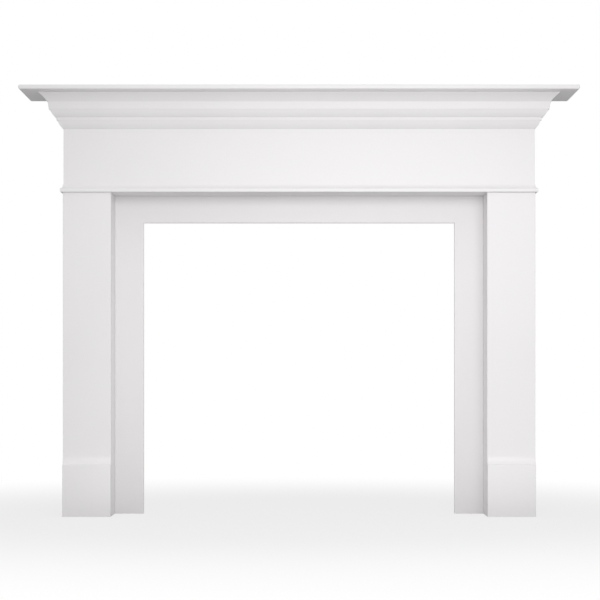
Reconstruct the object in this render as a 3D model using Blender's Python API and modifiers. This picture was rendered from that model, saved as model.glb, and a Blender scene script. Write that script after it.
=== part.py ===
"""A white painted fireplace mantelpiece, made from boards and mouldings the way a joiner makes one.

Two hollow box legs stand on the floor, each with a coved plinth block planted on its foot. A hollow box
header lies across them, with a lip moulding along its lower edge and a mitred crown moulding under the
shelf. A flat facing is set back between the legs and frames the fire opening. The legs and the header
are open at the back, where their edges meet the wall.

Metres, +Z up. The front faces -Y, and every back edge lies in one plane at +Y, the wall plane.
"""

import math

import bmesh
import bpy
from mathutils import Vector

# Main sizes, from the fire opening outwards
OPENING_WIDTH = 1.029
OPENING_HEIGHT = 0.962
FACING_SIDE = 0.095  # width of the facing beside the opening
FACING_HEAD = 0.089  # height of the facing above the opening
LEG_WIDTH = 0.156
LEG_DEPTH = 0.159  # wall plane to the face of a leg
HEADER_HEIGHT = 0.3165  # from the tops of the legs to the shelf
HEADER_SETBACK = 0.002  # how far the header stands in from the legs, in front and at each end
BOARD = 0.019  # thickness of every flat board but the shelf
JOINT_GAP = 0.0003  # glue line between two pieces that touch
ARRIS = 0.0015  # radius of an eased board edge

# Shelf
SHELF_THICKNESS = 0.0145
SHELF_PAST_CROWN = 0.0565  # how far the shelf oversails the crown, in front and at each end
SHELF_LOWER_ROUND = 0.005
SHELF_UPPER_ROUND = 0.003

# Crown moulding, its members named from the shelf downwards
CROWN_TOP_FILLET = 0.0025
COVE_DEPTH = 0.0262
COVE_HEIGHT = 0.0255
COVE_SAG = 0.0015  # how far the middle of the cove lies in from a straight slope
FASCIA_LEAN = 0.0035  # how much further out the fascia is at its top
FASCIA_HEIGHT = 0.0235
FASCIA_QUIRK = 0.0033  # small flat between the fascia and the upper round
UPPER_ROUND_DEPTH = 0.015
UPPER_ROUND_HEIGHT = 0.0235
UPPER_QUIRK = 0.004  # small flat between the upper round and the fillet
FILLET_HEIGHT = 0.0092
LOWER_QUIRK = 0.003  # small flat between the fillet and the lower round
LOWER_ROUND_DEPTH = 0.0155
LOWER_ROUND_HEIGHT = 0.0263
ROUND_RISE = 0.002  # how far the middle of each round stands out from a straight slope
CROWN_FOOT = 0.002  # thickness left at the foot of the moulding
CROWN_TOP_LAND = 0.041  # width of the flat that bears under the shelf
CROWN_BACK_LAND = 0.016  # height of the flat that bears on the frieze

# Lip moulding along the header's lower edge
LIP_PROJECTION = 0.011
LIP_NOSE_HEIGHT = 0.013
LIP_NOSE_ROUND = 0.003
LIP_COVE_HEIGHT = 0.013
LIP_TOP = 0.002  # thickness left at its upper edge

# Plinth blocks
PLINTH_HEIGHT = 0.168  # floor to the arris below the cove
PLINTH_PROJECTION = 0.019
PLINTH_COVE_HEIGHT = 0.030
PLINTH_TOP = 0.0015  # thickness left at its upper edge

# Paint
PAINT_SRGB = (0.945, 0.941, 0.937)
PAINT_ROUGHNESS = 0.38

# Facets along a quarter turn
MOULDING_STEPS = 10
SHALLOW_STEPS = 5  # along a shallow round or cove, which turns through less than a quarter
EASING_STEPS = 3

# Places worked out from the sizes above
CROWN_HEIGHT = (
    CROWN_TOP_FILLET
    + COVE_HEIGHT
    + FASCIA_HEIGHT
    + UPPER_ROUND_HEIGHT
    + FILLET_HEIGHT
    + LOWER_ROUND_HEIGHT
)
CROWN_PROJECTION = (
    CROWN_FOOT
    + LOWER_ROUND_DEPTH
    + LOWER_QUIRK
    + UPPER_QUIRK
    + UPPER_ROUND_DEPTH
    + FASCIA_QUIRK
    + FASCIA_LEAN
    + COVE_DEPTH
)
LIP_HEIGHT = LIP_NOSE_HEIGHT + LIP_COVE_HEIGHT
OPENING_EDGE = OPENING_WIDTH / 2
LEG_INNER = OPENING_EDGE + FACING_SIDE
LEG_OUTER = LEG_INNER + LEG_WIDTH
HEADER_END = LEG_OUTER - HEADER_SETBACK
HEADER_DEPTH = LEG_DEPTH - HEADER_SETBACK
SHELF_OVERSAIL = CROWN_PROJECTION + SHELF_PAST_CROWN  # past the face of the frieze
SHELF_END = HEADER_END + SHELF_OVERSAIL
SHELF_DEPTH = HEADER_DEPTH + SHELF_OVERSAIL
HEADER_UNDERSIDE = OPENING_HEIGHT + FACING_HEAD
SHELF_UNDERSIDE = HEADER_UNDERSIDE + HEADER_HEIGHT
SHELF_TOP = SHELF_UNDERSIDE + SHELF_THICKNESS
WALL = SHELF_DEPTH / 2  # the origin lies midway between the wall plane and the shelf's front edge
LEG_FACE = WALL - LEG_DEPTH
FRIEZE_FACE = WALL - HEADER_DEPTH

# Which way a moulding faces, as its turn about Z
FACING_FRONT = math.radians(-90)
FACING_LEFT = math.radians(180)
FACING_RIGHT = math.radians(0)


def clear_scene():
    """Removes whatever the open file holds."""
    for thing in list(bpy.data.objects):
        bpy.data.objects.remove(thing, do_unlink=True)


def linear(channel):
    """One sRGB channel, 0 to 1, as linear light."""
    if channel <= 0.04045:
        return channel / 12.92
    return ((channel + 0.055) / 1.055) ** 2.4


def paint(name):
    """White satin paint for one piece."""
    material = bpy.data.materials.new(name + "_paint")
    material.use_nodes = True
    shader = material.node_tree.nodes["Principled BSDF"]
    shader.inputs["Base Color"].default_value = [*map(linear, PAINT_SRGB), 1.0]
    shader.inputs["Roughness"].default_value = PAINT_ROUGHNESS
    shader.inputs["Metallic"].default_value = 0.0
    return material


def add_piece(name, mesh, location, turn=(0.0, 0.0, 0.0)):
    """Puts a finished mesh into the mantelpiece as one named piece."""
    mesh.name = name
    mesh.shade_smooth()
    mesh.set_sharp_from_angle(angle=math.radians(30))
    mesh.materials.append(paint(name))
    piece = bpy.data.objects.new(name, mesh)
    piece.location = location
    piece.rotation_euler = turn
    piece.parent = mantelpiece
    pieces.objects.link(piece)
    return piece


def board(name, low, high, eased=None):
    """A flat board between two corners.

    eased gives a radius for each edge that is rounded. An edge is named by its middle, in halves of the
    board: (1, -1, 0) is the upright edge at the right front.
    """
    eased = eased or {}
    low = Vector(low)
    high = Vector(high)
    size = high - low
    shape = bmesh.new()
    bmesh.ops.create_cube(shape, size=1.0)
    bmesh.ops.scale(shape, vec=size, verts=shape.verts)
    widest = max(eased.values(), default=0.0)
    if widest:
        weight = shape.edges.layers.float.new("bevel_weight_edge")
        for edge in shape.edges:
            middle = (edge.verts[0].co + edge.verts[1].co) / 2
            place = tuple(round(2 * middle[axis] / size[axis]) for axis in range(3))
            edge[weight] = eased.get(place, 0.0) / widest
    mesh = bpy.data.meshes.new(name)
    shape.to_mesh(mesh)
    shape.free()
    piece = add_piece(name, mesh, (low + high) / 2)
    if widest:
        bevel = piece.modifiers.new("eased edges", "BEVEL")
        bevel.width = widest
        bevel.segments = EASING_STEPS
        bevel.limit_method = "WEIGHT"
    return piece


def quarter(centre, radii, start, end):
    """Points along a quarter of an ellipse, both ends included, with angles in degrees."""
    points = []
    for step in range(MOULDING_STEPS + 1):
        angle = math.radians(start + (end - start) * step / MOULDING_STEPS)
        points.append((centre[0] + radii[0] * math.cos(angle), centre[1] + radii[1] * math.sin(angle)))
    return points


def shallow_arc(start, depth, height, rise):
    """Points along a shallow arc that goes outwards and up from start, both ends included.

    rise says how far the middle stands out from a straight slope, or lies in from it if it is negative.
    """
    low = Vector(start)
    chord = Vector((depth, height))
    across = Vector((height, -depth)).normalized()
    points = []
    for step in range(SHALLOW_STEPS + 1):
        along = step / SHALLOW_STEPS
        point = low + chord * along + across * (rise * 4 * along * (1 - along))
        points.append((point.x, point.y))
    return points


def crown_outline():
    """The crown's section, as (distance from the frieze, height above its foot)."""
    outline = [(JOINT_GAP, 0.0)]
    out = CROWN_FOOT
    outline += shallow_arc((out, 0.0), LOWER_ROUND_DEPTH, LOWER_ROUND_HEIGHT, ROUND_RISE)
    out += LOWER_ROUND_DEPTH + LOWER_QUIRK
    height = LOWER_ROUND_HEIGHT
    outline.append((out, height))
    height += FILLET_HEIGHT
    outline.append((out, height))
    out += UPPER_QUIRK
    outline += shallow_arc((out, height), UPPER_ROUND_DEPTH, UPPER_ROUND_HEIGHT, ROUND_RISE)
    out += UPPER_ROUND_DEPTH + FASCIA_QUIRK
    height += UPPER_ROUND_HEIGHT
    outline.append((out, height))
    out += FASCIA_LEAN
    height += FASCIA_HEIGHT
    outline += shallow_arc((out, height), COVE_DEPTH, COVE_HEIGHT, -COVE_SAG)
    out += COVE_DEPTH
    outline.append((out, CROWN_HEIGHT))
    outline.append((out - CROWN_TOP_LAND, CROWN_HEIGHT))
    outline.append((JOINT_GAP, CROWN_BACK_LAND))
    return outline


def lip_outline():
    """The lip's section, as (distance from the frieze, height above its foot)."""
    rounded = (LIP_NOSE_ROUND, LIP_NOSE_ROUND)
    centre_out = LIP_PROJECTION - LIP_NOSE_ROUND
    outline = [(JOINT_GAP, 0.0)]
    outline += quarter((centre_out, LIP_NOSE_ROUND), rounded, -90, 0)
    outline += quarter((centre_out, LIP_NOSE_HEIGHT - LIP_NOSE_ROUND), rounded, 0, 90)
    cove = (centre_out - LIP_TOP, LIP_COVE_HEIGHT)
    outline += quarter((centre_out, LIP_HEIGHT), cove, -90, -180)[1:]
    outline.append((JOINT_GAP, LIP_HEIGHT))
    return outline


def plinth_outline():
    """The plinth block's section, as (distance from the leg, height above the floor)."""
    top = PLINTH_HEIGHT + PLINTH_COVE_HEIGHT
    cove = (PLINTH_PROJECTION - ARRIS - PLINTH_TOP, PLINTH_COVE_HEIGHT)
    outline = [(JOINT_GAP, 0.0), (PLINTH_PROJECTION, 0.0)]
    outline += quarter((PLINTH_PROJECTION - ARRIS, PLINTH_HEIGHT - ARRIS), (ARRIS, ARRIS), 0, 90)
    outline += quarter((PLINTH_PROJECTION - ARRIS, top), cove, -90, -180)[1:]
    outline.append((JOINT_GAP, top))
    return outline


def blank(outline, start, end):
    """A straight length of a section as a bmesh: X is the distance out, Y the height, Z runs along."""
    curve = bpy.data.curves.new("section", "CURVE")
    curve.dimensions = "2D"
    curve.fill_mode = "BOTH"
    curve.extrude = (end - start) / 2
    spline = curve.splines.new("POLY")
    spline.points.add(len(outline) - 1)
    for point, (out, height) in zip(spline.points, outline, strict=True):
        point.co = (out, height, 0.0, 1.0)
    spline.use_cyclic_u = True
    drawn = bpy.data.objects.new("section", curve)
    pieces.objects.link(drawn)
    graph = bpy.context.evaluated_depsgraph_get()
    mesh = bpy.data.meshes.new_from_object(drawn.evaluated_get(graph))
    bpy.data.objects.remove(drawn, do_unlink=True)
    bpy.data.curves.remove(curve)
    shape = bmesh.new()
    shape.from_mesh(mesh)
    bpy.data.meshes.remove(mesh)
    bmesh.ops.remove_doubles(shape, verts=shape.verts, dist=0.00001)
    bmesh.ops.translate(shape, vec=(0.0, 0.0, (start + end) / 2), verts=shape.verts)
    return shape


def mitre(shape, along, side):
    """Cuts a length at 45 degrees where it meets its neighbour, at its far end (side 1) or near end (-1)."""
    everything = [*shape.verts, *shape.edges, *shape.faces]
    cut = bmesh.ops.bisect_plane(
        shape,
        geom=everything,
        dist=0.000001,
        plane_co=(0.0, 0.0, along - side * JOINT_GAP / math.sqrt(2)),
        plane_no=(-1.0, 0.0, side),
        clear_outer=True,
    )
    edges = [part for part in cut["geom_cut"] if isinstance(part, bmesh.types.BMEdge)]
    bmesh.ops.edgeloop_fill(shape, edges=edges)


def moulding(name, outline, start, end, mitred, corner, facing):
    """A length of moulding: start and end are measured along it from corner, mitred says which are mitred."""
    reach = max(out for out, _ in outline)
    near = start - reach if mitred[0] else start
    far = end + reach if mitred[1] else end
    shape = blank(outline, near, far)
    if mitred[0]:
        mitre(shape, start, -1)
    if mitred[1]:
        mitre(shape, end, 1)
    bmesh.ops.recalc_face_normals(shape, faces=shape.faces)
    mesh = bpy.data.meshes.new(name)
    shape.to_mesh(mesh)
    shape.free()
    return add_piece(name, mesh, corner, (math.radians(90), 0.0, facing))


def moulding_round_header(name, outline, foot):
    """A front length and two returns, mitred at the header's front corners and square at the wall."""
    middle = (0.0, FRIEZE_FACE, foot)
    moulding(name + "_front", outline, -HEADER_END, HEADER_END, (True, True), middle, FACING_FRONT)
    left_corner = (-HEADER_END, FRIEZE_FACE, foot)
    right_corner = (HEADER_END, FRIEZE_FACE, foot)
    moulding(name + "_left_return", outline, 0.0, HEADER_DEPTH, (True, False), left_corner, FACING_LEFT)
    moulding(name + "_right_return", outline, -HEADER_DEPTH, 0.0, (False, True), right_corner, FACING_RIGHT)


def build_shelf():
    """One board on top, rounded more below than above on the three sides that show."""
    eased = {}
    for across, ahead in ((0, -1), (-1, 0), (1, 0)):
        eased[(across, ahead, -1)] = SHELF_LOWER_ROUND
        eased[(across, ahead, 1)] = SHELF_UPPER_ROUND
    for side in (-1, 1):
        eased[(side, -1, 0)] = SHELF_UPPER_ROUND
    front = WALL - SHELF_DEPTH
    board("shelf", (-SHELF_END, front, SHELF_UNDERSIDE), (SHELF_END, WALL, SHELF_TOP), eased)


def build_header():
    """A box of four boards: frieze, two ends and a soffit, open at the back and closed by the shelf."""
    top = SHELF_UNDERSIDE - JOINT_GAP
    behind_frieze = FRIEZE_FACE + BOARD + JOINT_GAP
    board(
        "frieze_board",
        (-HEADER_END, FRIEZE_FACE, HEADER_UNDERSIDE),
        (HEADER_END, FRIEZE_FACE + BOARD, top),
        {(-1, -1, 0): ARRIS, (1, -1, 0): ARRIS},
    )
    inside_end = HEADER_END - BOARD
    board("header_left_end", (-HEADER_END, behind_frieze, HEADER_UNDERSIDE), (-inside_end, WALL, top))
    board("header_right_end", (inside_end, behind_frieze, HEADER_UNDERSIDE), (HEADER_END, WALL, top))
    soffit_end = inside_end - JOINT_GAP
    board(
        "header_soffit",
        (-soffit_end, behind_frieze, HEADER_UNDERSIDE),
        (soffit_end, WALL, HEADER_UNDERSIDE + BOARD),
    )


def build_leg(side_name, side):
    """A box of three boards, open at the back, with a plinth block planted on its foot."""
    top = HEADER_UNDERSIDE - JOINT_GAP
    behind_front = LEG_FACE + BOARD + JOINT_GAP

    def between(name, inner, outer, ahead, back, eased=None):
        low = min(side * inner, side * outer)
        high = max(side * inner, side * outer)
        board(f"{side_name}_leg_{name}", (low, ahead, 0.0), (high, back, top), eased)

    between(
        "front", LEG_INNER, LEG_OUTER, LEG_FACE, LEG_FACE + BOARD, {(-1, -1, 0): ARRIS, (1, -1, 0): ARRIS}
    )
    between("inner_side", LEG_INNER, LEG_INNER + BOARD, behind_front, WALL)
    between("outer_side", LEG_OUTER - BOARD, LEG_OUTER, behind_front, WALL)
    middle = side * (LEG_INNER + LEG_OUTER) / 2
    half = LEG_WIDTH / 2
    moulding(
        f"{side_name}_plinth",
        plinth_outline(),
        -half,
        half,
        (False, False),
        (middle, LEG_FACE, 0.0),
        FACING_FRONT,
    )


def build_facing():
    """Three flat boards round the fire opening, their backs in the wall plane."""
    front = WALL - BOARD
    top = HEADER_UNDERSIDE - JOINT_GAP
    outer = LEG_INNER - JOINT_GAP
    board("facing_left", (-outer, front, 0.0), (-OPENING_EDGE, WALL, top), {(1, -1, 0): ARRIS})
    board("facing_right", (OPENING_EDGE, front, 0.0), (outer, WALL, top), {(-1, -1, 0): ARRIS})
    head_end = OPENING_EDGE - JOINT_GAP
    board("facing_head", (-head_end, front, OPENING_HEIGHT), (head_end, WALL, top), {(0, -1, -1): ARRIS})


clear_scene()
pieces = bpy.data.collections.new("mantelpiece")
bpy.context.scene.collection.children.link(pieces)
mantelpiece = bpy.data.objects.new("mantelpiece", None)
pieces.objects.link(mantelpiece)

build_shelf()
moulding_round_header("crown", crown_outline(), SHELF_UNDERSIDE - JOINT_GAP - CROWN_HEIGHT)
build_header()
moulding_round_header("lip", lip_outline(), HEADER_UNDERSIDE)
build_leg("left", -1)
build_leg("right", 1)
build_facing()
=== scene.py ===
# %% [markdown]
# # A white painted fireplace mantelpiece
#
# The real thing is joinery: flat boards of fibreboard glued into hollow boxes, with lengths of moulding
# mitred round them, all sprayed with satin white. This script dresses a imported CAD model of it. The
# model fixes every place and size, so each cell asks it where a board lies and builds the finished
# board there, with its rounded edges, its fine mouldings and its paint.

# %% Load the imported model
import math

import bmesh
import bpy
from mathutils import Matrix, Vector


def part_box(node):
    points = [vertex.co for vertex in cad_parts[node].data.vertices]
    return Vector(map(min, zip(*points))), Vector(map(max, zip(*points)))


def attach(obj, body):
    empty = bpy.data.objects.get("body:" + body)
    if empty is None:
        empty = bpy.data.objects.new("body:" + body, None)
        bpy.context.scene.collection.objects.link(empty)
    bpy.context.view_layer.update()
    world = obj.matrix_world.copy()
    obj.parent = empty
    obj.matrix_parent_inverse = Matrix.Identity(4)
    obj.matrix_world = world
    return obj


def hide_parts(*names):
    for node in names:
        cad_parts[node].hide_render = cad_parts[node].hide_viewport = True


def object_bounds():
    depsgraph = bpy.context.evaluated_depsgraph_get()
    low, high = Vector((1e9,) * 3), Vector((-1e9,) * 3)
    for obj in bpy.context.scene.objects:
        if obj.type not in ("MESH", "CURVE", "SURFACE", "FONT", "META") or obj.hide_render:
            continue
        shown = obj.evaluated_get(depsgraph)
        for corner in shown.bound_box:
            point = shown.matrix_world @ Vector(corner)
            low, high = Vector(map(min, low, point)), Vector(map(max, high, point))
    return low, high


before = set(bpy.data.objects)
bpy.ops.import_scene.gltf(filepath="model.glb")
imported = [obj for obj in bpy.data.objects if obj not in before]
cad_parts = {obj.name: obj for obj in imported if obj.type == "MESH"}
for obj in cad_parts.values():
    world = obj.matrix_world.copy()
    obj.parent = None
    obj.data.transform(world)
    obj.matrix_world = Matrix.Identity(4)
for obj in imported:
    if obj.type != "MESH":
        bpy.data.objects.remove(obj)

cad_low, cad_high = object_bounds()
cad_size = [round(1000 * side) for side in cad_high - cad_low]
print("packed model", cad_size, "mm,", len(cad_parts), "nodes")

# %% [markdown]
# ## Two helpers
#
# Paint makers give a colour as a hex value on the sRGB scale, and Blender's shaders want linear light,
# so one function turns the one into the other. A second one adds a node to any tree, with its settings
# and what its inputs join, which keeps every tree below short enough to read.

# %% Colours and nodes
def linear_colour(hex_value):
    """An sRGB colour such as "F2F0ED" as linear red, green, blue and alpha."""
    channels = []
    for start in (0, 2, 4):
        value = int(hex_value[start:start + 2], 16) / 255
        channels.append(value / 12.92 if value <= 0.04045 else ((value + 0.055) / 1.055) ** 2.4)
    return (*channels, 1.0)


def add_node(tree, kind, inputs=None, **settings):
    """Adds a node. inputs gives a socket to join or a plain value for each of its inputs."""
    node = tree.nodes.new(kind)
    for name, value in settings.items():
        setattr(node, name, value)
    for name, value in (inputs or {}).items():
        if isinstance(value, bpy.types.NodeSocket):
            tree.links.new(value, node.inputs[name])
        else:
            node.inputs[name].default_value = value
    return node


# %% [markdown]
# ## The camera
#
# The mantelpiece is seen square on, from 6.5 m away and about a third of the way up its height, the
# way a catalogue shows one. The camera stays level, so that upright lines stay upright, and the lens
# is shifted up instead of tilted, as on a view camera.

# %% Camera
PICTURE = 600  # pixels across, which the shifts below are measured in
LEG_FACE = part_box("left_leg_front")[0][1]
CAMERA_DISTANCE = 6.5  # from the faces of the legs
CAMERA_HEIGHT = 0.4636
SENSOR = 36.0  # millimetres wide
LENS = 120.36  # millimetres
SHIFT = (0.9, 73.5)  # pixels to the right and up

camera = bpy.data.objects.new("camera", bpy.data.cameras.new("camera"))
camera.data.sensor_width = SENSOR
camera.data.lens = LENS
camera.data.shift_x = SHIFT[0] / PICTURE
camera.data.shift_y = SHIFT[1] / PICTURE
camera.location = (0.0, LEG_FACE - CAMERA_DISTANCE, CAMERA_HEIGHT)
camera.rotation_euler = (math.radians(90), 0.0, 0.0)
bpy.context.scene.collection.objects.link(camera)
bpy.context.scene.camera = camera
print("camera at", [round(value, 3) for value in camera.location])

# %% [markdown]
# ## Floor and light
#
# White on white needs soft light from the front: shadows stay pale, and only the undersides of the
# mouldings turn grey. One wide lamp stands close in front, a little to the right and lower than the
# shelf, so that the light falls off gently towards the feet. A white board that lies in front of it
# throws light up under the mouldings, and a white surround fills the rest. The floor reflects less
# than it seems to: to the camera it is washed out and fades into the white background.

# %% Floor and light
FLOOR_RADIUS = 30.0
FLOOR_FADE = (0.8, 2.6)  # metres from the middle between which the floor turns into background
FLOOR_GLOW = 0.75  # share of background white in the floor nearest the legs, which keeps its shadows faint
FLOOR_WHITE = linear_colour("B4B4B4")
SURROUND = 0.738  # brightness of the surround as the mantelpiece sees it

scene = bpy.context.scene
scene.view_settings.view_transform = "Standard"
scene.world = bpy.data.worlds.new("white surround")
scene.world.use_nodes = True
sky = scene.world.node_tree
sky.nodes.clear()
seen = add_node(sky, "ShaderNodeLightPath").outputs["Is Camera Ray"]
dim = add_node(sky, "ShaderNodeBackground", {"Color": (1.0, 1.0, 1.0, 1.0), "Strength": SURROUND})
white = add_node(sky, "ShaderNodeBackground", {"Color": (1.0, 1.0, 1.0, 1.0), "Strength": 1.0})
mixed = add_node(sky, "ShaderNodeMixShader", {0: seen, 1: dim.outputs[0], 2: white.outputs[0]})
add_node(sky, "ShaderNodeOutputWorld", {"Surface": mixed.outputs[0]})


def soft_light(name, place, aim, size, watts):
    """A rectangle of light that the camera doesn't see itself."""
    lamp = bpy.data.objects.new(name, bpy.data.lights.new(name, "AREA"))
    lamp.data.shape = "RECTANGLE"
    lamp.data.size, lamp.data.size_y = size
    lamp.data.energy = watts
    lamp.visible_camera = False
    lamp.location = place
    lamp.rotation_mode = "QUATERNION"
    lamp.rotation_quaternion = (Vector(aim) - Vector(place)).to_track_quat("-Z", "Y")
    scene.collection.objects.link(lamp)
    print(name, watts, "W")


soft_light("soft lamp", (0.35, -2.35, 1.2), (0.0, 0.0, 0.9), (1.6, 0.8), 22.0)
soft_light("white board on the floor", (0.2, -1.55, 0.03), (0.2, -1.54, 2.0), (1.9, 2.8), 5.3)

floor_paint = bpy.data.materials.new("pale_studio_floor")
floor_paint.use_nodes = True
tree = floor_paint.node_tree
tree.nodes.clear()
place = add_node(tree, "ShaderNodeTexCoord").outputs["Object"]
away = add_node(tree, "ShaderNodeVectorMath", {0: place}, operation="LENGTH").outputs["Value"]
fade = add_node(
    tree,
    "ShaderNodeMapRange",
    {"Value": away, "From Min": FLOOR_FADE[0], "From Max": FLOOR_FADE[1], "To Min": FLOOR_GLOW},
    interpolation_type="SMOOTHSTEP",
)
seen = add_node(tree, "ShaderNodeLightPath").outputs["Is Camera Ray"]
glow = add_node(tree, "ShaderNodeMath", {0: fade.outputs[0], 1: seen}, operation="MULTIPLY").outputs[0]
paint = add_node(tree, "ShaderNodeBsdfDiffuse", {"Color": FLOOR_WHITE})
background = add_node(tree, "ShaderNodeEmission", {"Color": (1.0, 1.0, 1.0, 1.0), "Strength": 1.0})
mixed = add_node(tree, "ShaderNodeMixShader", {0: glow, 1: paint.outputs[0], 2: background.outputs[0]})
add_node(tree, "ShaderNodeOutputMaterial", {"Surface": mixed.outputs[0]})

floor_mesh = bpy.data.meshes.new("floor")
shape = bmesh.new()
bmesh.ops.create_circle(shape, cap_ends=True, segments=96, radius=FLOOR_RADIUS)
shape.to_mesh(floor_mesh)
shape.free()
floor_mesh.materials.append(floor_paint)
floor = bpy.data.objects.new("floor", floor_mesh)
scene.collection.objects.link(floor)
print("surround", SURROUND, "floor fades between", FLOOR_FADE, "m")

# %% [markdown]
# ## The paint
#
# A factory mantelpiece is sprayed, so there are no brush marks. What is left is a very fine orange peel,
# long shallow waves where the board was sanded between coats, and a sheen that changes a little from
# place to place. The faces of fibreboard are dense and take paint well. Its sawn edges drink the paint,
# so they stay slightly furry and duller. The back and the insides get one thin coat of primer, through
# which the brown board shows faintly. One function builds all three from different numbers.

# %% Three finishes
PEEL = 0.004  # metres from crest to crest: real peel is 1 to 3 mm, drawn coarser so that it can show
SANDING_WAVE = 0.09  # metres from wave to wave along a sanded board
FIBRE = 0.0025  # metres across the tufts of a sawn edge, twice the real size so that they can show
CLOUD = 0.35  # metres across the faint clouds of tone that several passes of the gun leave


def paint_finish(name, light, dark, sheen, grain, height, waves):
    """A sprayed finish. sheen is the roughness from and to, grain the texture's size and height its depth."""
    material = bpy.data.materials.new(name)
    material.use_nodes = True
    tree = material.node_tree
    shader = tree.nodes["Principled BSDF"]
    shader.inputs["IOR"].default_value = 1.5
    place = add_node(tree, "ShaderNodeTexCoord").outputs["Object"]
    cloud = add_node(tree, "ShaderNodeTexNoise", {"Vector": place, "Scale": 1 / CLOUD, "Detail": 2.0})
    speck = add_node(tree, "ShaderNodeTexNoise", {"Vector": place, "Scale": 1 / grain, "Detail": 3.0})
    wave = add_node(tree, "ShaderNodeTexNoise", {"Vector": place, "Scale": 1 / SANDING_WAVE, "Detail": 1.0})
    tone = add_node(
        tree, "ShaderNodeMix", {"Factor": 0.3, "A": cloud.outputs[0], "B": speck.outputs[0]}
    ).outputs["Result"]
    spread = add_node(tree, "ShaderNodeMapRange", {"Value": tone, "From Min": 0.3, "From Max": 0.7})
    colour = add_node(
        tree,
        "ShaderNodeMix",
        {"Factor": spread.outputs[0], "A": linear_colour(dark), "B": linear_colour(light)},
        data_type="RGBA",
    )
    tree.links.new(colour.outputs["Result"], shader.inputs["Base Color"])
    gloss = add_node(
        tree,
        "ShaderNodeMapRange",
        {"Value": tone, "From Min": 0.3, "From Max": 0.7, "To Min": sheen[0], "To Max": sheen[1]},
    )
    tree.links.new(gloss.outputs[0], shader.inputs["Roughness"])
    peel = add_node(
        tree, "ShaderNodeBump", {"Height": speck.outputs[0], "Distance": height, "Strength": 1.0}
    )
    sanded = add_node(
        tree,
        "ShaderNodeBump",
        {"Height": wave.outputs[0], "Distance": waves, "Strength": 1.0, "Normal": peel.outputs[0]},
    )
    tree.links.new(sanded.outputs[0], shader.inputs["Normal"])
    return material


satin = paint_finish(
    "satin_white_enamel_sprayed_on_fibreboard", "EFEDEE", "EBE9EA", (0.36, 0.46), PEEL, 0.00004, 0.0002
)
sawn_edge = paint_finish(
    "satin_white_enamel_on_sawn_edges", "EEECEC", "E7E5E5", (0.46, 0.62), FIBRE, 0.00010, 0.0001
)
primer = paint_finish(
    "thin_primer_on_fibreboard_backs", "DFDAD2", "CEC5B8", (0.70, 0.86), FIBRE, 0.00008, 0.0001
)
FINISHES = (satin, sawn_edge, primer)
ENAMELLED, SAWN, PRIMED = range(3)  # their places in FINISHES
print("finishes", [finish.name for finish in FINISHES])


# %% [markdown]
# ## Putting a piece in place
#
# Every finished piece rides on the model's one body and takes the place of the CAD nodes that it stands for,
# which are hidden.

# %% One way in for every piece
def add_piece(name, mesh, *nodes):
    """Shows a finished mesh, already in its place, instead of the CAD nodes that it stands for."""
    mesh.name = name
    piece = bpy.data.objects.new(name, mesh)
    scene.collection.objects.link(piece)
    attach(piece, "root")
    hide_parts(*nodes)
    return piece


# %% [markdown]
# ## The boards
#
# A board is a box, but never a sharp one: paint won't hold on a sharp arris, so the joiner takes every
# edge off with sandpaper, about 1.5 mm where hands touch it and less inside a joint. A bmesh box with
# a bevel weight on each edge gives both, and a Bevel modifier with hardened normals keeps the wide
# faces flat to the eye. Each side of the box gets the finish that it would have: enamel where it
# shows, a sawn edge where the saw went through the board, and primer at the back and inside.

# %% A board from its box
SIDES = {"left": (-1, 0, 0), "right": (1, 0, 0), "front": (0, -1, 0), "back": (0, 1, 0), "under": (0, 0, -1)}
SIDES["top"] = (0, 0, 1)
HANDLED_ARRIS = 0.0015
JOINT_ARRIS = 0.0004
ARRIS_STEPS = 5


def ease_edges(piece):
    """Rounds each edge by its bevel weight, and keeps the flat faces flat."""
    eased = piece.modifiers.new("eased edges", "BEVEL")
    eased.width = HANDLED_ARRIS
    eased.segments = ARRIS_STEPS
    eased.limit_method = "WEIGHT"
    eased.harden_normals = True
    return piece


def board(node, shows, sawn, handled):
    """The painted board that fills a CAD node's box. shows, sawn and handled are words from SIDES.

    handled pairs two sides, such as "front left", whose common edge is rounded fully.
    """
    low, high = (Vector(corner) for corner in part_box(node))
    size = high - low
    shape = bmesh.new()
    bmesh.ops.create_cube(shape, size=1.0)
    weight = shape.edges.layers.float.new("bevel_weight_edge")
    full = [Vector(SIDES[a]) + Vector(SIDES[b]) for a, b in (pair.split() for pair in handled)]
    for edge in shape.edges:
        middle = edge.verts[0].co + edge.verts[1].co
        rounded = any((middle - way).length < 0.01 for way in full)
        edge[weight] = 1.0 if rounded else JOINT_ARRIS / HANDLED_ARRIS
    for face in shape.faces:
        side = next(word for word, way in SIDES.items() if (face.normal - Vector(way)).length < 0.01)
        face.material_index = ENAMELLED if side in shows else SAWN if side in sawn else PRIMED
        face.smooth = True
    bmesh.ops.scale(shape, vec=size, verts=shape.verts)
    bmesh.ops.translate(shape, vec=(low + high) / 2, verts=shape.verts)
    mesh = bpy.data.meshes.new(node)
    shape.to_mesh(mesh)
    shape.free()
    for finish in FINISHES:
        mesh.materials.append(finish)
    return ease_edges(add_piece("painted_" + node, mesh, node))


# %% [markdown]
# ## Header and legs
#
# The header is a box of four boards open at the back, and each leg a box of three. They are the same
# shape of thing in other sizes, so a short list says which sides show, which are sawn and which edges
# are handled.

# %% Header and legs
board("frieze_board", ["front"], ["left", "right", "under"], ["front left", "front right"])
board("header_left_end", ["left"], ["under"], [])
board("header_right_end", ["right"], ["under"], [])
board("header_soffit", ["under"], [], [])
for side, inner, outer in (("left", "right", "left"), ("right", "left", "right")):
    board(f"{side}_leg_front", ["front"], ["left", "right"], ["front left", "front right"])
    board(f"{side}_leg_inner_side", [inner], [], [])
    board(f"{side}_leg_outer_side", [outer], [], [])

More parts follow.
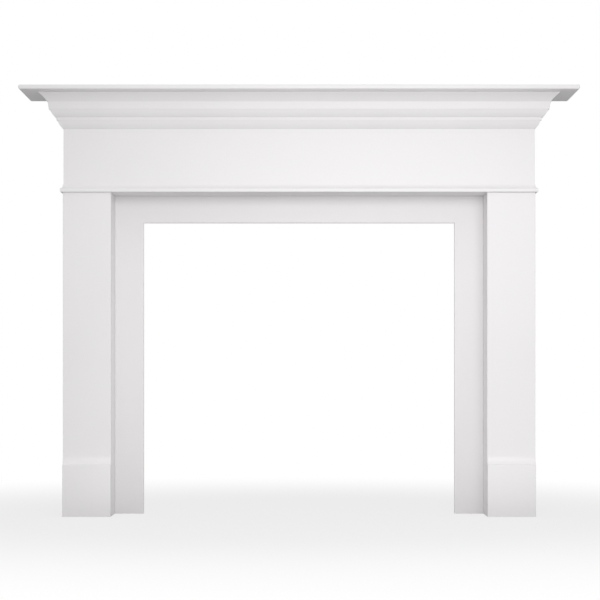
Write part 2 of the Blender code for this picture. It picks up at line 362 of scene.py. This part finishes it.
# %% [markdown]
# ## The facing
#
# Three boards frame the fire opening, two uprights with a head between them. Their butt joints are
# filled, sanded and sprayed over, and the eye sees one flat frame with a soft edge all round the
# opening. So the paint is one skin here: five cells of a small grid, extruded to the thickness of the
# boards. The three edges that look at the fire are rounded fully, and every other fold only a little.

# %% Facing
CLOSE = 0.001  # metres within which two places count as one
left_box, head_box, right_box = (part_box("facing_" + part) for part in ("left", "head", "right"))
columns = (left_box[0][0], left_box[1][0], right_box[0][0], right_box[1][0])
levels = (left_box[0][2], head_box[0][2], head_box[1][2])
facing_front, facing_back = left_box[0][1], left_box[1][1]
shape = bmesh.new()
corners = [[shape.verts.new((x, facing_front, z)) for x in columns] for z in levels]
for column, level in ((0, 0), (0, 1), (1, 1), (2, 0), (2, 1)):
    lower, upper = corners[level], corners[level + 1]
    shape.faces.new((lower[column], lower[column + 1], upper[column + 1], upper[column]))
grown = bmesh.ops.extrude_face_region(shape, geom=shape.faces[:])["geom"]
backs = [part for part in grown if isinstance(part, bmesh.types.BMVert)]
bmesh.ops.translate(shape, vec=(0.0, facing_back - facing_front, 0.0), verts=backs)
bmesh.ops.recalc_face_normals(shape, faces=shape.faces)
weight = shape.edges.layers.float.new("bevel_weight_edge")


def looks_at_fire(point):
    """True for a point on the rim of the fire opening."""
    return columns[1] - CLOSE < point.x < columns[2] + CLOSE and point.z < levels[1] + CLOSE


for edge in shape.edges:
    middle = (edge.verts[0].co + edge.verts[1].co) / 2
    if edge.calc_face_angle() > 0.1:
        rim = looks_at_fire(middle) and middle.y < facing_front + CLOSE and middle.z > CLOSE
        edge[weight] = 1.0 if rim else JOINT_ARRIS / HANDLED_ARRIS
for face in shape.faces:
    rim = looks_at_fire(face.calc_center_median()) and abs(face.normal.y) < 0.5
    face.material_index = ENAMELLED if face.normal.y < -0.5 else SAWN if rim else PRIMED
    face.smooth = True
mesh = bpy.data.meshes.new("facing")
shape.to_mesh(mesh)
shape.free()
for finish in FINISHES:
    mesh.materials.append(finish)
ease_edges(add_piece("painted_facing", mesh, "facing_left", "facing_head", "facing_right"))
opening = (columns[2] - columns[1], levels[1] - levels[0])
print("facing opening", [round(1000 * value) for value in opening], "mm")

# %% [markdown]
# ## The shelf and the plinth blocks
#
# Both are blocks whose plan keeps its shape while its front and ends step in and out with the height:
# the shelf's rounded nose, and the plinth's cove. So each is built as a stack of rings. A ring is the
# plan at one height, with its two front corners rounded, and the rings are joined like the slices of
# a loaf. The back stays flat against the wall or the leg.

# %% A block from a stack of rings
CORNER_STEPS = 6
BLOCK_FOLD = math.radians(30)  # a fold of a block steeper than this stays sharp


def ring(low, high, corner):
    """The plan between two corner points, the two front corners rounded, anticlockwise from back left."""
    points = [(low[0], high[1])]
    for centre_x, start in ((low[0] + corner, 180), (high[0] - corner, 270)):
        for step in range(CORNER_STEPS + 1):
            angle = math.radians(start + 90 * step / CORNER_STEPS)
            points.append((centre_x + corner * math.cos(angle), low[1] + corner + corner * math.sin(angle)))
    points.append((high[0], high[1]))
    return points


def stacked_block(node, rings, primed):
    """Joins rings, each (height, plan), from the bottom up. primed says if the underside is only primed."""
    shape = bmesh.new()
    loops = [[shape.verts.new((x, y, height)) for x, y in plan] for height, plan in rings]
    for lower, upper in zip(loops, loops[1:]):
        for index in range(len(lower)):
            after = (index + 1) % len(lower)
            face = shape.faces.new((lower[index], lower[after], upper[after], upper[index]))
            face.material_index = PRIMED if after == 0 else ENAMELLED
    bottom = shape.faces.new(reversed(loops[0]))
    bottom.material_index = PRIMED if primed else ENAMELLED
    shape.faces.new(loops[-1])
    bmesh.ops.recalc_face_normals(shape, faces=shape.faces)
    mesh = bpy.data.meshes.new(node)
    shape.to_mesh(mesh)
    shape.free()
    mesh.shade_smooth()
    mesh.set_sharp_from_angle(angle=BLOCK_FOLD)
    for finish in FINISHES:
        mesh.materials.append(finish)
    return add_piece("painted_" + node, mesh, node)


def arc(centre, radii, start, end, steps):
    """Points along a quarter of an ellipse, both ends included, with angles in degrees."""
    points = []
    for step in range(steps + 1):
        angle = math.radians(start + (end - start) * step / steps)
        points.append((centre[0] + radii[0] * math.cos(angle), centre[1] + radii[1] * math.sin(angle)))
    return points


# %% Shelf
SHELF_LOWER_ROUND = 0.005
SHELF_UPPER_ROUND = 0.003
SHELF_CORNER = 0.003
NOSE_STEPS = 10
shelf_low, shelf_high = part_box("shelf")
nose = arc((0.0, SHELF_LOWER_ROUND), (SHELF_LOWER_ROUND, SHELF_LOWER_ROUND), -90, 0, NOSE_STEPS)
nose = [(SHELF_LOWER_ROUND - out, height) for out, height in nose]
thickness = shelf_high[2] - shelf_low[2]
crest = arc(
    (0.0, thickness - SHELF_UPPER_ROUND), (SHELF_UPPER_ROUND, SHELF_UPPER_ROUND), 0, 90, NOSE_STEPS
)
nose += [(SHELF_UPPER_ROUND - out, height) for out, height in crest]
rings = []
for inset, height in nose:
    low = (shelf_low[0] + inset, shelf_low[1] + inset)
    high = (shelf_high[0] - inset, shelf_high[1])
    rings.append((shelf_low[2] + height, ring(low, high, SHELF_CORNER)))
stacked_block("shelf", rings, False)
print("shelf", round(1000 * (shelf_high[0] - shelf_low[0])), "mm long,", len(rings), "rings")

# %% Plinth blocks
PLINTH_ARRIS = 0.0015
PLINTH_COVE = 0.030  # height of the cove above the arris
PLINTH_TOP = 0.0015  # thickness left at the upper edge
CORNER_SHARE = 0.6  # widest round of a corner, as a share of how far the block stands out there
COVE_STEPS = 24
for side in ("left", "right"):
    node = side + "_plinth"
    low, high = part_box(node)
    projection = high[1] - low[1]
    arris_height = high[2] - PLINTH_COVE
    face = [(projection, 0.0)]
    arris_centre = (projection - PLINTH_ARRIS, arris_height - PLINTH_ARRIS)
    face += arc(arris_centre, (PLINTH_ARRIS, PLINTH_ARRIS), 0, 90, ARRIS_STEPS)
    hollow = (projection - PLINTH_ARRIS - PLINTH_TOP, PLINTH_COVE)
    face += arc((projection - PLINTH_ARRIS, high[2]), hollow, -90, -180, COVE_STEPS)[1:]
    rings = []
    for out, height in face:
        corner = min(PLINTH_ARRIS, out * CORNER_SHARE)
        rings.append((height, ring((low[0], high[1] - out), (high[0], high[1]), corner)))
    stacked_block(node, rings, True)
    print(node, round(1000 * projection), "mm proud,", len(rings), "rings")

# %% [markdown]
# ## Crown and lip mouldings
#
# A moulding is one section pulled along a line, so a node tree does the work: it takes the section as
# a curve, sweeps it along a straight run, and then cuts the mitres. A saw set at 45 degrees leaves each
# point of the section exactly as far along as it stands out from the wall, so the tree moves the points
# of an end by their own distance out. That makes an exact mitre with no boolean. The section is drawn
# from its members, as a joiner names them: two shallow rounds with a fillet between them, a fascia
# that leans out a little, and a shallow cove that slopes up to the shelf. The small flats between them
# are quirks.

# %% Crown section
GAP = 0.0001  # what paint leaves of a glued joint
MOULDING_STEPS = 24
CROWN_TOP_FILLET = 0.0025
COVE = (0.0262, 0.0255)
COVE_SAG = 0.0015  # how far the middle of the cove lies in from a straight slope
FASCIA = (0.0035, 0.0235)  # its lean and its height
FASCIA_QUIRK = 0.0033
UPPER_ROUND = (0.015, 0.0235)
UPPER_QUIRK = 0.004
FILLET_HEIGHT = 0.0092
LOWER_QUIRK = 0.003
LOWER_ROUND = (0.0155, 0.0263)
ROUND_RISE = 0.002  # how far the middle of each round stands out from a straight slope
CROWN_FOOT = 0.002
CROWN_TOP_LAND = 0.041
CROWN_BACK_LAND = 0.016


def shallow_arc(start, size, rise):
    """Points along a shallow arc that goes outwards and up from start, both ends included.

    rise says how far the middle stands out from a straight slope, or lies in from it if it is negative.
    """
    low, chord = Vector(start), Vector(size)
    across = Vector((chord.y, -chord.x)).normalized()
    points = []
    for step in range(MOULDING_STEPS + 1):
        along = step / MOULDING_STEPS
        point = low + chord * along + across * (rise * 4 * along * (1 - along))
        points.append((point.x, point.y))
    return points


out, height = CROWN_FOOT, 0.0
crown = [(GAP, 0.0), *shallow_arc((out, height), LOWER_ROUND, ROUND_RISE)]
out, height = out + LOWER_ROUND[0] + LOWER_QUIRK, height + LOWER_ROUND[1]
crown += [(out, height), (out, height + FILLET_HEIGHT)]
out, height = out + UPPER_QUIRK, height + FILLET_HEIGHT
crown += shallow_arc((out, height), UPPER_ROUND, ROUND_RISE)
out, height = out + UPPER_ROUND[0] + FASCIA_QUIRK, height + UPPER_ROUND[1]
crown.append((out, height))
out, height = out + FASCIA[0], height + FASCIA[1]
crown += shallow_arc((out, height), COVE, -COVE_SAG)
out, height = out + COVE[0], height + COVE[1] + CROWN_TOP_FILLET
crown += [(out, height), (out - CROWN_TOP_LAND, height), (GAP, CROWN_BACK_LAND)]
print("crown", round(1000 * out, 1), "mm out,", round(1000 * height, 1), "mm high")

# %% Lip section
LIP_PROJECTION = 0.011
LIP_NOSE_HEIGHT = 0.013
LIP_NOSE_ROUND = 0.003
LIP_COVE_HEIGHT = 0.013
LIP_TOP = 0.002

nose = LIP_PROJECTION - LIP_NOSE_ROUND
lip = [(GAP, 0.0)]
lip += arc((nose, LIP_NOSE_ROUND), (LIP_NOSE_ROUND, LIP_NOSE_ROUND), -90, 0, NOSE_STEPS)
lip += arc((nose, LIP_NOSE_HEIGHT - LIP_NOSE_ROUND), (LIP_NOSE_ROUND, LIP_NOSE_ROUND), 0, 90, NOSE_STEPS)
lip_cove = (nose - LIP_TOP, LIP_COVE_HEIGHT)
lip += arc((nose, LIP_NOSE_HEIGHT + LIP_COVE_HEIGHT), lip_cove, -90, -180, MOULDING_STEPS)[1:]
lip.append((GAP, LIP_NOSE_HEIGHT + LIP_COVE_HEIGHT))
print("lip", round(1000 * LIP_PROJECTION, 1), "mm out,", len(lip), "points")

# %% The moulding tree
moulding_tree = bpy.data.node_groups.new("mitred_moulding", "GeometryNodeTree")
moulding_tree.is_modifier = True
for name, kind in (
    ("Section", "Object"),
    ("Near end", "Float"),
    ("Far end", "Float"),
    ("Near mitre", "Float"),
    ("Far mitre", "Float"),
    ("Corner", "Vector"),
    ("Turn", "Vector"),
    ("Paint", "Material"),
):
    moulding_tree.interface.new_socket(name, in_out="INPUT", socket_type="NodeSocket" + kind)
moulding_tree.interface.new_socket("Geometry", in_out="OUTPUT", socket_type="NodeSocketGeometry")

given = add_node(moulding_tree, "NodeGroupInput").outputs
drawn = add_node(moulding_tree, "GeometryNodeObjectInfo", {"Object": given["Section"]})
where = add_node(moulding_tree, "GeometryNodeInputPosition").outputs[0]
kept = add_node(moulding_tree, "GeometryNodeCaptureAttribute", domain="POINT")
kept.capture_items.new("VECTOR", "Section place")
moulding_tree.links.new(drawn.outputs["Geometry"], kept.inputs["Geometry"])
moulding_tree.links.new(where, kept.inputs["Section place"])
section_place = add_node(
    moulding_tree, "ShaderNodeSeparateXYZ", {0: kept.outputs["Section place"]}
).outputs
near = add_node(moulding_tree, "ShaderNodeCombineXYZ", {"X": given["Near end"]}).outputs[0]
far = add_node(moulding_tree, "ShaderNodeCombineXYZ", {"X": given["Far end"]}).outputs[0]
run = add_node(moulding_tree, "GeometryNodeCurvePrimitiveLine", {"Start": near, "End": far})
swept = add_node(
    moulding_tree,
    "GeometryNodeCurveToMesh",
    {"Curve": run.outputs[0], "Profile Curve": kept.outputs["Geometry"], "Fill Caps": True},
)
along = add_node(moulding_tree, "ShaderNodeSeparateXYZ", {0: where}).outputs["X"]
middle = add_node(moulding_tree, "ShaderNodeMath", {0: given["Near end"], 1: given["Far end"]}).outputs[0]
middle = add_node(moulding_tree, "ShaderNodeMath", {0: middle, 1: 0.5}, operation="MULTIPLY").outputs[0]
is_far = add_node(moulding_tree, "ShaderNodeMath", {0: along, 1: middle}, operation="GREATER_THAN").outputs[0]
mitre = add_node(
    moulding_tree, "ShaderNodeMix", {"Factor": is_far, "A": given["Near mitre"], "B": given["Far mitre"]}
).outputs["Result"]
cut = add_node(
    moulding_tree, "ShaderNodeMath", {0: section_place["X"], 1: mitre, 2: along}, operation="MULTIPLY_ADD"
).outputs[0]
ahead = add_node(moulding_tree, "ShaderNodeMath", {0: section_place["X"], 1: -1.0}, operation="MULTIPLY")
placed = add_node(
    moulding_tree, "ShaderNodeCombineXYZ", {"X": cut, "Y": ahead.outputs[0], "Z": section_place["Y"]}
)
mitred = add_node(
    moulding_tree, "GeometryNodeSetPosition", {"Geometry": swept.outputs[0], "Position": placed.outputs[0]}
)
turned = add_node(
    moulding_tree,
    "GeometryNodeTransform",
    {"Geometry": mitred.outputs[0], "Translation": given["Corner"], "Rotation": given["Turn"]},
)
whole = add_node(moulding_tree, "GeometryNodeRealizeInstances", {"Geometry": turned.outputs[0]})
painted = add_node(
    moulding_tree, "GeometryNodeSetMaterial", {"Geometry": whole.outputs[0], "Material": given["Paint"]}
)
add_node(moulding_tree, "NodeGroupOutput", {"Geometry": painted.outputs[0]})
print("moulding tree", len(moulding_tree.nodes), "nodes")


# %% Lengths of moulding
MOULDING_FOLD = math.radians(25)  # a fold of a moulding steeper than this stays sharp


def section_curve(name, outline):
    """The section as a closed flat curve: X is the distance out, Y the height."""
    curve = bpy.data.curves.new(name, "CURVE")
    curve.dimensions = "3D"
    spline = curve.splines.new("POLY")
    spline.points.add(len(outline) - 1)
    for point, (distance, rise) in zip(spline.points, outline):
        point.co = (distance, rise, 0.0, 1.0)
    spline.use_cyclic_u = True
    drawing = bpy.data.objects.new(name, curve)
    scene.collection.objects.link(drawing)
    return drawing


def moulding(node, section, ends, mitres, corner, turn):
    """Sweeps one length. ends are measured from corner, mitres say how each end is cut, turn is about Z."""
    values = {
        "Section": section,
        "Near end": ends[0],
        "Far end": ends[1],
        "Near mitre": mitres[0],
        "Far mitre": mitres[1],
        "Corner": corner,
        "Turn": (0.0, 0.0, math.radians(turn)),
        "Paint": satin,
    }
    carrier = bpy.data.objects.new(node + "_run", bpy.data.meshes.new(node + "_run"))
    modifier = carrier.modifiers.new("moulding", "NODES")
    modifier.node_group = moulding_tree
    for socket in moulding_tree.interface.items_tree:
        if socket.in_out == "INPUT":
            modifier[socket.identifier] = values[socket.name]
    scene.collection.objects.link(carrier)
    graph = bpy.context.evaluated_depsgraph_get()
    mesh = bpy.data.meshes.new_from_object(carrier.evaluated_get(graph))
    bpy.data.objects.remove(carrier)
    shape = bmesh.new()
    shape.from_mesh(mesh)
    bmesh.ops.remove_doubles(shape, verts=shape.verts, dist=0.000001)
    bmesh.ops.recalc_face_normals(shape, faces=shape.faces)
    for face in shape.faces:
        against_wall = face.normal.y > 0.99
        face.material_index = 1 if against_wall else 0  # the second material is the primer added below
    shape.to_mesh(mesh)
    print(node, len(mesh.vertices), "points,", round(1e6 * shape.calc_volume()), "ml")
    shape.free()
    mesh.materials.append(primer)
    mesh.shade_smooth()
    mesh.set_sharp_from_angle(angle=MOULDING_FOLD)
    return add_piece("painted_" + node, mesh, node)


frieze_low, frieze_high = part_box("frieze_board")
header_end = frieze_high[0]
frieze_face = frieze_low[1]
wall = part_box("header_left_end")[1][1]
depth = wall - frieze_face
for name, outline in (("crown", crown), ("lip", lip)):
    section = section_curve(name + "_section", outline)
    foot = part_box(name + "_front")[0][2]
    front = (0.0, frieze_face, foot)
    moulding(name + "_front", section, (GAP - header_end, header_end - GAP), (-1.0, 1.0), front, 0)
    left = (-header_end, frieze_face, foot)
    moulding(name + "_left_return", section, (GAP - depth, -GAP), (0.0, 1.0), left, -90)
    right = (header_end, frieze_face, foot)
    moulding(name + "_right_return", section, (GAP, depth - GAP), (-1.0, 0.0), right, 90)
    bpy.data.objects.remove(section)
